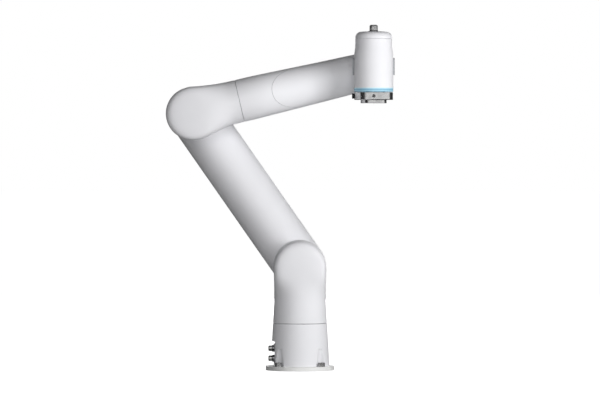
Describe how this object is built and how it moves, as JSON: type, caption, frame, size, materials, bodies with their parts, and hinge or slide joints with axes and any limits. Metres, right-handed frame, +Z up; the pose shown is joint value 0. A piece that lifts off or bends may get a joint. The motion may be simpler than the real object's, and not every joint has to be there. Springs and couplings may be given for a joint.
{
  "type": "six-axis robot arm",
  "caption": "Floor or bench mounted articulated robot arm with smooth round castings, offset upper arm and forearm, and a bolted tool flange.",
  "frame": {"origin": "middle of the base flange's underside, on the base axis", "axes": "+Z up along the base axis, +X the way the arm reaches, -Y the side where the elbow and wrist show"},
  "size_m": [0.5487, 0.2849, 0.8283],
  "materials": {
    "paint": "smooth satin cool white paint",
    "bare_metal": "turned, bare",
    "dark_metal": "black anodised",
    "dark_plastic": "satin black",
    "seal": "dark grey",
    "panel": "grey paint",
    "pad": "satin grey",
    "light": "frosted pale blue light band"
  },
  "bodies": {
    "base": {"base_flange": "bare_metal", "base_housing": "paint", "connector_panel": "panel", "upper_port_collar": "dark_metal", "upper_port_barrel": "bare_metal", "lower_port_collar": "dark_metal", "lower_port_barrel": "bare_metal"},
    "shoulder": {"waist_ring": "seal", "shoulder_housing": "paint"},
    "upper_arm": {"shoulder_ring": "seal", "upper_arm_casting": "paint"},
    "elbow": {"elbow_ring": "seal", "elbow_housing": "paint"},
    "forearm": {"forearm_ring": "seal", "forearm_casting": "paint", "forearm_cover": "paint"},
    "wrist": {"wrist_ring": "seal", "wrist_housing": "paint", "wrist_cap": "paint", "top_socket": "dark_plastic", "top_socket_cover": "bare_metal", "side_pad_front": "pad", "side_pad_rear": "pad", "status_light": "light"},
    "tool_flange": {"tool_flange": "bare_metal", "tool_port": "dark_plastic"}
  },
  "joints": [
    {"name": "base_rotation", "type": "hinge", "parent": "base", "child": "shoulder", "pos_m": [0, 0, 0.112], "axis": [0, 0, 1], "range_deg": [-180, 180]},
    {"name": "shoulder_pitch", "type": "hinge", "parent": "shoulder", "child": "upper_arm", "pos_m": [0, 0.07, 0.2465], "axis": [0, -1, 0], "range_deg": [-130, 60]},
    {"name": "elbow_pitch", "type": "hinge", "parent": "upper_arm", "child": "elbow", "pos_m": [-0.25747, 0.07, 0.61557], "axis": [0, 1, 0], "range_deg": [-259.6, 36.4]},
    {"name": "forearm_roll", "type": "hinge", "parent": "elbow", "child": "forearm", "pos_m": [-0.14538, 0, 0.64566], "axis": [0.9732, 0, 0.23], "range_deg": [-180, 180]},
    {"name": "wrist_pitch", "type": "hinge", "parent": "forearm", "child": "wrist", "pos_m": [0.17674, 0.052, 0.72181], "axis": [0, -1, 0], "range_deg": [-31.7, 238.3]},
    {"name": "flange_roll", "type": "hinge", "parent": "wrist", "child": "tool_flange", "pos_m": [0.17674, 0, 0.66681], "axis": [0, 0, -1], "range_deg": [-360, 360]}
  ]
}
